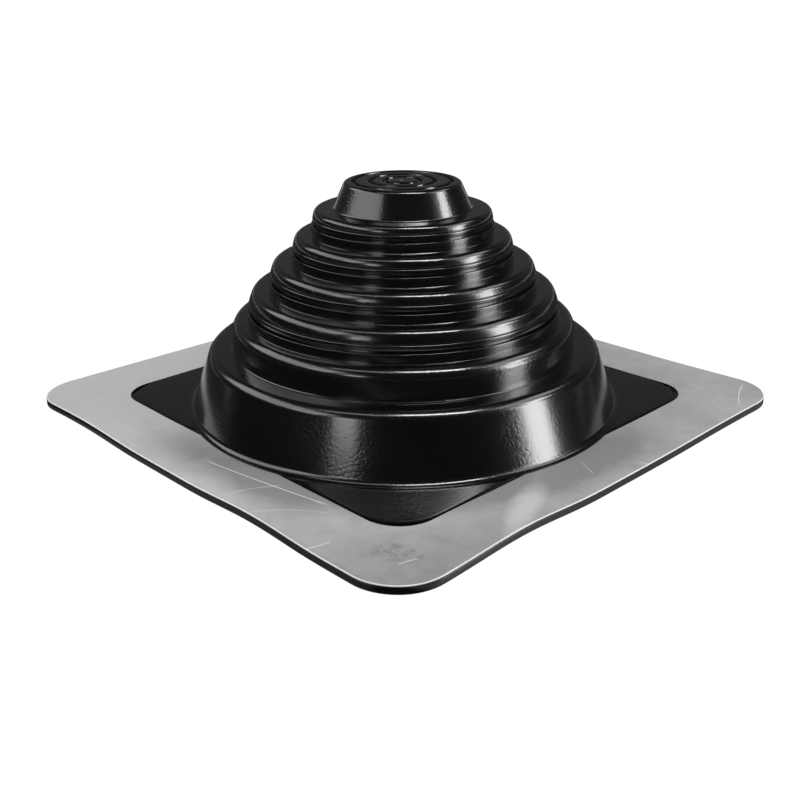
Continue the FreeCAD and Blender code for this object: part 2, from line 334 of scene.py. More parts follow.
@dataclass
class Ribs:
    """Snap ribs and lip of a ribbed tier, heights above its foot in millimetres."""

    upper_top: float = 6.1
    lower_top: float = 3.55
    bevel: float = 0.45
    groove: float = 0.85
    depth: float = 0.9
    notch: float = 0.35
    stand: float = 0.12
    lower_bevel: float = 0.25
    lip: float = 0.1
    edge: float = 0.1
    bevel_steps: int = 5
    edge_steps: int = 3

    def add(self, section: Section, tier: Tier) -> None:
        """Step down from the wall over both ribs to the lip on the ledge below."""
        foot = tier.foot
        upper = tier.wall(self.upper_top) + self.stand
        lower = tier.wall(self.lower_top) + self.stand
        root = upper - self.depth
        groove_top = self.lower_top + self.groove
        notch_top = self.upper_top + self.notch
        section.arc((tier.wall(notch_top) - self.edge, foot + notch_top + self.edge),
                    self.edge, tier.tilt, -90.0, self.edge_steps)
        section.to((upper - self.bevel, foot + notch_top))
        section.arc((upper - self.bevel, foot + self.upper_top - self.bevel),
                    self.bevel, 90.0, 0.0, self.bevel_steps)
        section.arc((upper - self.edge, foot + groove_top + self.edge),
                    self.edge, 0.0, -90.0, self.edge_steps)
        section.to((root, foot + groove_top), (root, foot + self.lower_top))
        section.arc((lower - self.lower_bevel, foot + self.lower_top - self.lower_bevel),
                    self.lower_bevel, 90.0, 0.0, self.bevel_steps)
        section.to((lower, foot + 2 * self.lip), (lower + self.lip, foot + self.lip),
                   (lower + self.lip, foot))


@dataclass
class RingGroove:
    """A ring groove in the cap's top, given by its mean radius."""

    radius: float
    width: float = 1.7
    depth: float = 1.1
    floor_share: float = 0.6
    edge: float = 0.15

    def add(self, section: Section, top: float) -> None:
        """Cross the groove from its inner edge to its outer edge."""
        half, floor = self.width / 2, self.width * self.floor_share / 2
        inner, outer = self.radius - half, self.radius + half
        section.to((inner - self.edge, top), (inner, top - self.edge / 2),
                   (self.radius - floor, top - self.depth),
                   (self.radius + floor, top - self.depth),
                   (outer, top - self.edge / 2), (outer + self.edge, top))


@dataclass
class RubberBoot:
    """The moulded rubber piece: cap, tiers, skirt, pad and base, closed round its cavity."""

    sheet: float = 0.8
    rubber: float = 2.1
    shell: float = 2.4
    web: float = 2.2
    mouth_lip: float = 1.7
    dimple: float = 0.7
    dimple_depth: float = 0.7
    cap_foot_round: float = 0.9
    skirt_foot_round: float = 2.5
    skirt_lip: float = 0.3
    lip: float = 0.22
    edge: float = 0.25
    tiers: tuple[Tier, ...] = (
        Tier(9.4, 21.2, 1.7, 0.46),
        Tier(8.9, 31.9, 2.0, 0.24),
        Tier(9.55, 39.2, 2.7, 0.27),
        Tier(9.8, 47.5, 2.8, 0.34),
        Tier(10.55, 55.5, 3.0, 0.38),
        Tier(10.75, 62.7, 3.7, 0.09),
        Tier(21.65, 72.5, 4.0, 0.36),
    )
    rings: tuple[RingGroove, ...] = (RingGroove(6.2), RingGroove(11.3), RingGroove(17.3))
    ribs: Ribs = field(default_factory=Ribs)
    outline: Outline = field(default_factory=lambda: Outline(101.5, 18.0))
    pad: Outline = field(default_factory=lambda: Outline(77.0, 16.5))
    window: Outline = field(default_factory=lambda: Outline(77.7, 14.0))
    pad_support: float = 1.2        # a row this far in keeps the pad's shading flat
    lining: float = 0.15            # rubber that lines the sheet's window
    lining_rise: float = 0.72
    skin: float = 0.45              # rubber that laps the sheet's outer edge
    skin_wall: float = 0.09
    skin_edge: float = 0.05
    waves: WavyPlane = field(default_factory=WavyPlane)
    rows_across: int = 15
    cap_steps: tuple[int, int] = (9, 6)
    rib_steps: int = 8
    rim_steps: int = 12
    foot_steps: int = 9

    def __post_init__(self) -> None:
        """Stack the tiers from the flange up."""
        height = self.rubber + self.sheet
        for tier in reversed(self.tiers):
            tier.foot = height
            height += tier.rise
        self.top = height

    def outer_section(self) -> np.ndarray:
        """Section from the dimple's edge over cap, tiers and skirt to the skirt's lip."""
        section = Section()
        for ring in self.rings:
            ring.add(section, self.top)
        cap, *ribbed, smooth, skirt = self.tiers
        cap.add_rim(section, self.cap_steps[0])
        cap.add_hollow_foot(section, self.cap_foot_round, 0.0, self.cap_steps[1])
        for tier in ribbed:
            tier.add_rim(section, self.rib_steps)
            self.ribs.add(section, tier)
        smooth.add_rim(section, self.rim_steps)
        foot = smooth.wall(2 * self.lip)
        section.to((foot, smooth.foot + 2 * self.lip), (foot + self.lip, smooth.foot + self.lip),
                   (foot + self.lip, smooth.foot))
        skirt.add_rim(section, self.rim_steps)
        reach = skirt.add_hollow_foot(section, self.skirt_foot_round, self.skirt_lip,
                                      self.foot_steps)
        section.to((reach, skirt.foot))
        return section.points()

    def inner_section(self) -> np.ndarray:
        """Section of the cavity from the mouth's edge up to the cap's underside."""
        skirt = self.tiers[-1]
        mouth = skirt.wall(0.0) - self.shell - self.mouth_lip
        section = Section().to((mouth, 0.0), (mouth, skirt.foot))
        for tier in reversed(self.tiers):
            ceiling = tier.foot + tier.rise - self.web
            if tier is not skirt:
                section.to((tier.wall(0.0) - self.shell, tier.foot - self.web))
            section.to((tier.rim - self.shell, ceiling))
        return section.points()

    def base_rows(self, bearing: np.ndarray) -> list[np.ndarray]:
        """Rows over the pad, up and down the window's lining, under the sheet and round the base.

        Args:
            bearing: Directions in radians.

        Returns:
            The rows in order, from the pad's top to the mouth's side of the underside.
        """
        edge, top, skin = self.edge, self.rubber + self.sheet, self.rubber + self.skin
        middle, lined = BEVEL_MIDDLE * edge, self.rubber + self.lining_rise
        pad, window, outline, waves = self.pad, self.window, self.outline, self.waves
        flat = WavyPlane(waves=())
        share = np.linspace(0.0, 1.0, self.rows_across)[1:-1]
        rows = [pad.row(bearing, top, flat, self.pad_support),
                pad.row(bearing, top, flat, edge),
                pad.row(bearing, top - middle, flat, middle),
                pad.row(bearing, top - edge, flat),
                pad.row(bearing, self.rubber, flat),
                window.row(bearing, self.rubber, waves, self.lining),
                window.row(bearing, lined, waves, self.lining),
                window.row(bearing, lined, waves, HAIR),
                window.row(bearing, self.rubber, waves, HAIR)]
        rows += [pad.towards(outline, part).row(bearing, self.rubber, waves) for part in share]
        rows += [outline.row(bearing, self.rubber, waves, self.skin_wall),
                 outline.row(bearing, skin, waves, self.skin_wall),
                 outline.row(bearing, skin, waves, self.skin_wall - self.skin_edge),
                 outline.row(bearing, skin - self.skin_edge, waves),
                 outline.row(bearing, edge, waves),
                 outline.row(bearing, middle, waves, middle),
                 outline.row(bearing, 0.0, waves, edge)]
        rows += [pad.towards(outline, part).row(bearing, 0.0, waves) for part in share[::-1]]
        return rows

    def build(self) -> bpy.types.Object:
        """Lay the section's rows round the axis and close both poles.

        Returns:
            The finished piece, riding on the body and standing for its CAD node.
        """
        bearing = bearings()
        circle = np.stack((np.cos(bearing), np.sin(bearing), np.zeros_like(bearing)), axis=-1)
        rows = [circle * triangle_reach(bearing, self.dimple)[:, None] + (0.0, 0.0, self.top)]
        rows += [circle * radius + (0.0, 0.0, height) for radius, height in self.outer_section()]
        rows += self.base_rows(bearing)
        rows += [circle * radius + (0.0, 0.0, height) for radius, height in self.inner_section()]
        ceiling = self.tiers[0].foot + self.tiers[0].rise - self.web
        poles = np.array(((0.0, 0.0, self.top - self.dimple_depth), (0.0, 0.0, ceiling)))
        points = np.concatenate([poles] + rows)
        columns = len(bearing)
        ring = np.arange(columns)
        faces = [grid_faces(len(rows), columns, 2), fan_faces(0, ring + 2, True),
                 fan_faces(1, ring + 2 + columns * (len(rows) - 1), False)]
        piece = new_piece("moulded_boot", points, faces)
        piece.data.materials.append(MouldedRubber().material())
        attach(piece, Body.ROOT.value)
        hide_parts(Node.BOOT.value)
        return piece


# ---------------------------------------------------------------- the aluminium flange


@dataclass
class AluminiumFlange:
    """The soft sheet with its rounded window, following the waves of the base."""

    rubber: float = 2.1
    sheet: float = 0.8
    outline: Outline = field(default_factory=lambda: Outline(101.4, 17.9))
    window: Outline = field(default_factory=lambda: Outline(77.7, 14.0))
    waves: WavyPlane = field(default_factory=WavyPlane)
    rows_across: int = 30
    edge: float = 0.12
    support: float = 0.35           # rows this far in keep the sheet's shading flat
    painted_edge_highlight: Pair = (0.7, 0.4)         # painted highlight along the cut edge, above and on its side

    def build(self) -> bpy.types.Object:
        """Carry the sheet's section round from window to edge, above and below.

        Returns:
            The finished piece, riding on the body and standing for its CAD node.
        """
        bearing = bearings()
        top, bottom = self.rubber + self.sheet, self.rubber
        window, outline, waves = self.window, self.outline, self.waves
        middle = BEVEL_MIDDLE * self.edge
        share = np.linspace(0.0, 1.0, self.rows_across)[1:-1]
        rows = [window.row(bearing, bottom, waves),
                window.row(bearing, top - self.edge, waves),
                window.row(bearing, top, waves, -self.edge),
                window.row(bearing, top, waves, -self.support)]
        rows += [window.towards(outline, part).row(bearing, top, waves) for part in share]
        rows.append(outline.row(bearing, top, waves, self.support))
        shining = len(rows)
        rows += [outline.row(bearing, top, waves, self.edge),
                 outline.row(bearing, top - middle, waves, middle),
                 outline.row(bearing, top - self.edge, waves),
                 outline.row(bearing, bottom, waves)]
        rows += [window.towards(outline, part).row(bearing, bottom, waves)
                 for part in share[::-1]]
        rows.append(rows[0])
        columns = len(bearing)
        faces = grid_faces(len(rows), columns, 0) % (columns * (len(rows) - 1))
        piece = new_piece("waved_sheet", np.concatenate(rows[:-1]), [faces])
        # painted highlight along the cut edge, kept as a point attribute on the edge's rows
        painted_edge_highlight = np.zeros((len(rows) - 1, columns))
        painted_edge_highlight[shining:shining + 2] = self.painted_edge_highlight[0]
        painted_edge_highlight[shining + 2] = self.painted_edge_highlight[1]
        values = piece.data.attributes.new("painted_edge_highlight", "FLOAT", "POINT")
        values.data.foreach_set("value", painted_edge_highlight.ravel())
        piece.data.materials.append(MillSheet().material())
        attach(piece, Body.ROOT.value)
        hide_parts(Node.FLANGE.value)
        return piece


# ---------------------------------------------------------------- node helpers


class Value:
    """A number socket whose operators add Math nodes."""

    def __init__(self, nodes: "Nodes", socket: bpy.types.NodeSocket) -> None:
        """Wrap a socket of a tree."""
        self.nodes, self.socket = nodes, socket

    def maths(self, operation: str, *others: "Value | float") -> "Value":
        """Add a Math node that takes this value first."""
        inputs = dict(enumerate((self, *others)))
        return self.nodes.add("ShaderNodeMath", {"operation": operation}, inputs).value()

    def __add__(self, other: "Value | float") -> "Value":
        """Sum."""
        return self.maths("ADD", other)

    def __sub__(self, other: "Value | float") -> "Value":
        """Difference."""
        return self.maths("SUBTRACT", other)

    def __rsub__(self, other: float) -> "Value":
        """Reflected difference."""
        return self.maths("MULTIPLY", -1.0) + other

    def __mul__(self, other: "Value | float") -> "Value":
        """Product."""
        return self.maths("MULTIPLY", other)

    def __truediv__(self, other: "Value | float") -> "Value":
        """Quotient."""
        return self.maths("DIVIDE", other)

    def __abs__(self) -> "Value":
        """Distance from nought."""
        return self.maths("ABSOLUTE")

    __radd__ = __add__
    __rmul__ = __mul__

    def step(self, low: float, high: float) -> "Value":
        """Smooth rise from 0 at low to 1 at high, or a fall where low is over high."""
        inputs = {"Value": self, "From Min": low, "From Max": high}
        return self.nodes.add("ShaderNodeMapRange", {"interpolation_type": "SMOOTHSTEP"},
                              inputs).value()


class Made:
    """A node that was just added."""

    def __init__(self, nodes: "Nodes", node: bpy.types.Node) -> None:
        """Keep the node and its tree."""
        self.nodes, self.node = nodes, node

    def socket(self, name: str | int = 0) -> bpy.types.NodeSocket:
        """One of the node's outputs."""
        return self.node.outputs[name]

    def value(self, name: str | int = 0) -> Value:
        """One of the node's outputs as a number."""
        return Value(self.nodes, self.node.outputs[name])


@dataclass(frozen=True)
class Cloud:
    """A noise pattern: spots to the metre, and how finely and roughly it breaks up."""

    scale: float
    detail: float = 3.0
    roughness: float = 0.5
    distortion: float = 0.0


@dataclass(frozen=True)
class Relief:
    """A bump: the depth in metres that a height of 1 stands for, and its strength."""

    depth: float
    strength: float = 1.0


class Nodes:
    """A shader tree to which nodes are added by one method."""

    def __init__(self, tree: bpy.types.NodeTree) -> None:
        """Empty the tree."""
        tree.nodes.clear()
        self.tree = tree

    def add(self, kind: str, settings: dict | None = None, inputs: dict | None = None) -> Made:
        """Add a node, set it up and feed its sockets.

        Args:
            kind: Node type.
            settings: Attributes such as a Math node's operation.
            inputs: Values, sockets, numbers or wrapped nodes by socket name or place.

        Returns:
            The new node.
        """
        node = self.tree.nodes.new(kind)
        for name, setting in (settings or {}).items():
            setattr(node, name, setting)
        for name, source in (inputs or {}).items():
            if isinstance(source, Value):
                source = source.socket
            elif isinstance(source, Made):
                source = source.socket()
            if isinstance(source, bpy.types.NodeSocket):
                self.tree.links.new(source, node.inputs[name])
            else:
                node.inputs[name].default_value = source
        return Made(self, node)

    def noise(self, where: bpy.types.NodeSocket, cloud: Cloud) -> Value:
        """Noise between about 0 and 1 at places given in metres."""
        inputs = {"Vector": where, "Scale": cloud.scale, "Detail": cloud.detail,
                  "Roughness": cloud.roughness, "Distortion": cloud.distortion}
        return self.add("ShaderNodeTexNoise", None, inputs).value("Fac")

    def mapped(self, where: bpy.types.NodeSocket, place: Pair = (0.0, 0.0),
               turn: float = 0.0, scale: Triple = (1.0, 1.0, 1.0)) -> bpy.types.NodeSocket:
        """Coordinates centred on a place in millimetres, turned about Z, and then scaled."""
        centred = self.add("ShaderNodeVectorMath", {"operation": "SUBTRACT"},
                           {0: where, 1: (place[0] * MM, place[1] * MM, 0.0)})
        return self.add("ShaderNodeMapping", {"vector_type": "POINT"},
                        {"Vector": centred, "Rotation": (0.0, 0.0, -math.radians(turn)),
                         "Scale": scale}).socket()

    def blend(self, factor: Value, first: Colour | bpy.types.NodeSocket,
              second: Colour | bpy.types.NodeSocket) -> bpy.types.NodeSocket:
        """Colour between two colours, each a constant or a socket."""
        made = self.add("ShaderNodeMix", {"data_type": "RGBA"}, {"Factor": factor})
        for place, colour in ((6, first), (7, second)):
            if isinstance(colour, bpy.types.NodeSocket):
                self.tree.links.new(colour, made.node.inputs[place])
            else:
                made.node.inputs[place].default_value = (*colour, 1.0)
        return made.socket(2)

    def bump(self, height: Value, relief: Relief, normal: Made | None = None) -> Made:
        """Bump of a height between 0 and 1, over the normal of an earlier bump if given."""
        inputs = {"Height": height, "Distance": relief.depth, "Strength": relief.strength}
        if normal is not None:
            inputs["Normal"] = normal
        return self.add("ShaderNodeBump", None, inputs)


def new_material(name: str) -> tuple[bpy.types.Material, Nodes, bpy.types.NodeSocket]:
    """Make a material and its object coordinates."""
    material = bpy.data.materials.new(name)
    material.use_nodes = True
    nodes = Nodes(material.node_tree)
    return material, nodes, nodes.add("ShaderNodeTexCoord").socket("Object")


def finish_material(nodes: Nodes, **sockets: object) -> None:
    """Add the Principled shader with its sockets, and the output."""
    inputs = {name.replace("_", " ").title().replace("Ior", "IOR"): value
              for name, value in sockets.items()}
    shader = nodes.add("ShaderNodeBsdfPrincipled", None, inputs)
    nodes.add("ShaderNodeOutputMaterial", None, {"Surface": shader})


# ---------------------------------------------------------------- finishes


@dataclass(frozen=True)
class MouldedRubber:
    """Black satin rubber with fine creases that show in its highlights."""

    dark: Colour = (0.0008, 0.0008, 0.0009)
    pale: Colour = (0.002, 0.002, 0.0021)
    roughness: float = 0.14
    cloud_roughness: float = 0.06
    grain_roughness: float = 0.04
    specular: float = 1.0
    coat: float = 0.6
    coat_roughness: float = 0.12
    clouds: Cloud = Cloud(55.0)
    swell: Cloud = Cloud(38.0, 1.0)
    swell_relief: Relief = Relief(0.0004, 0.15)
    grain: Cloud = Cloud(2600.0, 2.0)
    grain_relief: Relief = Relief(0.00002, 0.1)
    crease_scale: float = 520.0
    crease_width: float = 0.3
    crease_relief: Relief = Relief(0.00002)
    crease_clouds: Pair = (0.3, 0.65)
    warp: float = 2.0
    warp_scale: float = 260.0

    def creases(self, nodes: Nodes, where: bpy.types.NodeSocket) -> Value:
        """Crinkled cells: their borders lie low, and noise bends them by up to the warp."""
        noise = nodes.add("ShaderNodeTexNoise", None, {"Vector": where, "Scale": self.warp_scale})
        bent = nodes.add("ShaderNodeVectorMath", {"operation": "MULTIPLY_ADD"},
                         {0: noise.socket("Color"), 1: (self.warp * MM,) * 3, 2: where})
        cells = nodes.add("ShaderNodeTexVoronoi", {"feature": "DISTANCE_TO_EDGE"},
                          {"Vector": bent, "Scale": self.crease_scale}).value("Distance")
        return cells.step(0.0, self.crease_width)

    def material(self) -> bpy.types.Material:
        """Build the shader."""
        material, nodes, where = new_material("moulded_rubber")
        cloud = nodes.noise(where, self.clouds)
        grain = nodes.noise(where, self.grain)
        creased = self.creases(nodes, where) * cloud.step(*self.crease_clouds)
        normal = nodes.bump(nodes.noise(where, self.swell), self.swell_relief)
        normal = nodes.bump(creased, self.crease_relief, normal)
        normal = nodes.bump(grain, self.grain_relief, normal)
        rough = self.roughness + self.cloud_roughness * cloud + self.grain_roughness * grain
        finish_material(nodes, base_color=nodes.blend(cloud, self.dark, self.pale),
                        roughness=rough, specular_ior_level=self.specular,
                        coat_weight=self.coat, coat_roughness=self.coat_roughness,
                        normal=normal)
        return material


@dataclass(frozen=True)
class Scratch:
    """A hairline scratch: its middle, bearing, length, bend, width and strength."""

    across: float
    along: float
    turn: float
    length: float
    bend: float = 0.0
    width: float = 0.2
    strength: float = 1.0
    core: float = 0.15              # share of the width to which it stays bright
    fade: float = 0.82              # share of the half-length at which its ends start to fade

    def mask(self, nodes: Nodes, where: bpy.types.NodeSocket) -> Value:
        """1 on the scratch, which bends as a parabola and fades at its ends."""
        place = nodes.mapped(where, (self.across, self.along), self.turn)
        split = nodes.add("ShaderNodeSeparateXYZ", None, {"Vector": place})
        share = split.value("X") / (0.5 * self.length * MM)
        off = abs(split.value("Y") - (1.0 - share * share) * (self.bend * MM))
        line = off.step(0.5 * self.width * MM, self.core * self.width * MM)
        return line * abs(share).step(1.0, self.fade) * self.strength


@dataclass(frozen=True)
class Smudge:
    """A soft oval patch: its middle, half-length, half-width, bearing and strength."""

    middle: Pair
    length: float
    width: float
    turn: float
    strength: float
    fall: Pair = (1.3, -0.3)        # squared distances, in half-widths, of its rim and its full

    def mask(self, nodes: Nodes, where: bpy.types.NodeSocket) -> Value:
        """Smooth fall of the squared distance from the middle, times the strength."""
        place = nodes.mapped(where, self.middle, self.turn)
        split = nodes.add("ShaderNodeSeparateXYZ", None, {"Vector": place})
        far, wide = split.value("X") / (self.length * MM), split.value("Y") / (self.width * MM)
        return (far * far + wide * wide).step(*self.fall) * self.strength


@dataclass(frozen=True)
class Streaks:
    """Noise drawn out along one bearing: spots to the metre along, across and in depth."""

    turn: float
    scale: Triple
    detail: float

    def noise(self, nodes: Nodes, where: bpy.types.NodeSocket) -> Value:
        """The drawn-out noise, between about 0 and 1."""
        drawn = nodes.mapped(where, turn=self.turn, scale=self.scale)
        return nodes.noise(drawn, Cloud(1.0, self.detail))


@dataclass(frozen=True)
class MillSheet:
    """Soft aluminium sheet: cloudy mill finish with rolling grain, scratches and a scuff.

    A tone between dark and pale is the sum of a mottle and a level, less painted shade on the
    front corner, the right side and round the rubber, less the scuff and a painted shade patch,
    plus a painted reflection of the skirt's highlight. Scratches, lines and a painted edge
    highlight are bright over it.
    """

    dark: Colour = (0.26, 0.257, 0.264)
    pale: Colour = (0.55, 0.546, 0.553)
    bright: Colour = (0.95, 0.95, 0.95)
    roughness: float = 0.38
    stain_roughness: float = 0.1
    metallic: float = 0.25
    clouds: Cloud = Cloud(22.0, 3.0, 0.55)
    cloud_relief: Relief = Relief(0.001, 0.1)
    stains: Cloud = Cloud(130.0, 5.0, 0.65, 0.4)
    rolling: Streaks = Streaks(4.0, (30.0, 900.0, 900.0), 3.0)
    rolling_relief: Relief = Relief(0.00001, 0.06)
    mottle_shares: Triple = (0.5, 0.4, 0.1)     # of clouds, stains and rolling grain
    mottle_range: Pair = (0.32, 0.68)
    mottle: float = 0.4
    level: float = 0.85
    # strength of the painted shade on the front and the right side
    shade_strength: float = 0.62
    front_shade_reach: Pair = (0.1, 0.19)             # metres of X - Y, where painted shade darkens the front
    side_shade_reach: Pair = (-0.15, 0.2)             # metres of X + Y, where painted shade darkens the right side
    cone_shade_radius: Pair = (0.104, 0.084)         # metres from the axis, where painted shade near the cone sets in
    cone_shade_reach: Pair = (0.03, 0.09)            # metres of X - Y, where painted shade near the cone sets in
    # painted reflection of the skirt's highlight, a pale streak added to the tone
    skirt_reflection: Smudge = Smudge((90.0, -35.0), 30.0, 5.5, -61.0, 0.75)
    # patch of painted shade from the cone, beside the skirt's foot
    shade: Smudge = Smudge((30.0, -88.0), 34.0, 12.0, -10.0, 0.35)
    scuff: Smudge = Smudge((83.5, -84.5), 8.5, 5.5, 30.0, 1.0)
    scuff_ragged: Cloud = Cloud(300.0, 3.0, 0.6)
    scuff_range: Pair = (0.42, 0.6)
    scuff_dulling: float = 0.6
    scuff_lines: Streaks = Streaks(110.0, (190.0, 2400.0, 1.0), 1.0)
    scuff_line_range: Pair = (0.56, 0.72)
    scuff_line_strength: float = 0.4
    strays: Streaks = Streaks(38.0, (60.0, 1900.0, 1.0), 0.0)
    stray_range: Pair = (0.77, 0.84)
    stray_clouds: Pair = (0.5, 0.6)
    stray_strength: float = 0.5
    scratches: tuple[Scratch, ...] = (
        Scratch(92.8, 87.0, -64.0, 22.5, -0.9, 0.26, 0.8),
        Scratch(99.4, 12.0, 24.0, 4.0),
        Scratch(88.5, -3.5, -27.0, 10.0, strength=0.6),
        Scratch(23.0, -84.0, 9.0, 56.0, -0.5, 0.26),
        Scratch(25.5, -91.0, 70.0, 21.0, 1.5, strength=0.8),
        Scratch(45.5, -92.0, 49.0, 25.0, 2.1, strength=0.7),
        Scratch(65.5, -97.5, 78.0, 8.0),
        Scratch(-45.5, -93.0, 0.0, 11.5, strength=0.6),
        Scratch(89.5, -85.5, 72.0, 6.4, 0.3),
    )

    def painted_shade(self, nodes: Nodes, where: bpy.types.NodeSocket) -> Value:
        """How much tone painted shade takes away on the front, the right side and round the
        rubber.
        """
        split = nodes.add("ShaderNodeSeparateXYZ", None, {"Vector": where})
        ahead = split.value("X") - split.value("Y")
        front = ahead.step(*self.front_shade_reach) * self.shade_strength
        side = (split.value("X") + split.value("Y")).step(*self.side_shade_reach) * self.shade_strength
        reach = nodes.add("ShaderNodeVectorMath", {"operation": "LENGTH"}, {0: where})
        cone_shade = reach.value("Value").step(*self.cone_shade_radius) * ahead.step(*self.cone_shade_reach)
        return front + side + cone_shade

    def wear_and_edge_highlight(self, nodes: Nodes, where: bpy.types.NodeSocket, cloud: Value,
              patch: Value) -> Value:
        """Brightest of the painted edge highlight, the scuff's lines, the scratches and the stray
        hairlines.

        Args:
            nodes: Tree to add to.
            where: Object coordinates.
            cloud: Noise that thins out the hairlines.
            patch: Strength of the scuff.

        Returns:
            Strength of the scratches, lines and painted edge highlight, from 0 to 1.
        """
        lines = self.scuff_lines.noise(nodes, where).step(*self.scuff_line_range) * patch
        strays = self.strays.noise(nodes, where).step(*self.stray_range)
        strays = strays * cloud.step(*self.stray_clouds) * self.stray_strength
        # the painted highlight along the cut edge, read from the point attribute
        wear_and_highlight = nodes.add("ShaderNodeAttribute", {"attribute_name": "painted_edge_highlight"}).value("Fac")
        others = [scratch.mask(nodes, where) for scratch in self.scratches]
        for other in (lines * self.scuff_line_strength, *others, strays):
            wear_and_highlight = wear_and_highlight.maths("MAXIMUM", other)
        return wear_and_highlight

    def material(self) -> bpy.types.Material:
        """Build the shader."""
        material, nodes, where = new_material("mill_sheet")
        cloud = nodes.noise(where, self.clouds)
        stain = nodes.noise(where, self.stains)
        grain = self.rolling.noise(nodes, where)
        parts = (share * part for share, part in zip(self.mottle_shares, (cloud, stain, grain)))
        mottle = sum(parts, 0.0).step(*self.mottle_range) * self.mottle
        patch = self.scuff.mask(nodes, where)
        patch = patch * nodes.noise(where, self.scuff_ragged).step(*self.scuff_range)
        # the scuff's own dulling plus the patch of painted shade
        scuff_and_shade = patch * self.scuff_dulling + self.shade.mask(nodes, where)
        # tone less painted shade, less the scuff and the painted shade patch, plus the painted
        # reflection
        tone = self.level - self.painted_shade(nodes, where) - scuff_and_shade + self.skirt_reflection.mask(nodes, where)
        wear_and_highlight = self.wear_and_edge_highlight(nodes, where, cloud, patch)
        normal = nodes.bump(cloud, self.cloud_relief)
        normal = nodes.bump(grain, self.rolling_relief, normal)
        colour = nodes.blend(mottle + tone, self.dark, self.pale)
        # scratches and wear lines, and the painted edge highlight, turn the colour bright and
        # less metallic
        finish_material(nodes, base_color=nodes.blend(wear_and_highlight, colour, self.bright),
                        roughness=self.roughness + self.stain_roughness * stain,
                        metallic=self.metallic * (1.0 - wear_and_highlight), normal=normal)
        return material


# ---------------------------------------------------------------- studio


@dataclass(frozen=True)
class Softbox:
    """A soft lamp that faces the part, seen from it in a direction and at a size in degrees.

    The side counts from the camera towards its right, and the height from the level. The
    distance and the height of the place that it faces are in metres.
    """

    name: str
    side: float
    height: float
    across: float
    tall: float
    radiance: float
    tilt: float = 0.0
    distance: float = 0.9
    aim: float = 0.04

    def build(self, facing: float) -> bpy.types.Object:
        """Add the lamp.

        Args:
            facing: Bearing of the camera in degrees, from which sides are counted.

        Returns:
            The lamp's object.
        """
        turn, rise = math.radians(facing + self.side), math.radians(self.height)
        towards = Vector((math.sin(turn) * math.cos(rise), -math.cos(turn) * math.cos(rise),
                          math.sin(rise)))
        lamp = bpy.data.lights.new(self.name, "AREA")
        lamp.shape = "RECTANGLE"
        lamp.size = 2 * self.distance * math.tan(math.radians(self.across) / 2)
        lamp.size_y = 2 * self.distance * math.tan(math.radians(self.tall) / 2)
        lamp.energy = self.radiance * math.pi * lamp.size * lamp.size_y
        light = bpy.data.objects.new(self.name, lamp)
        light.location = towards * self.distance + Vector((0.0, 0.0, self.aim))
        light.rotation_mode = "QUATERNION"
        roll = Quaternion((0.0, 0.0, 1.0), math.radians(self.tilt))
        light.rotation_quaternion = towards.to_track_quat("Z", "Y") @ roll
        light.visible_camera = False
        bpy.context.scene.collection.objects.link(light)
        return light


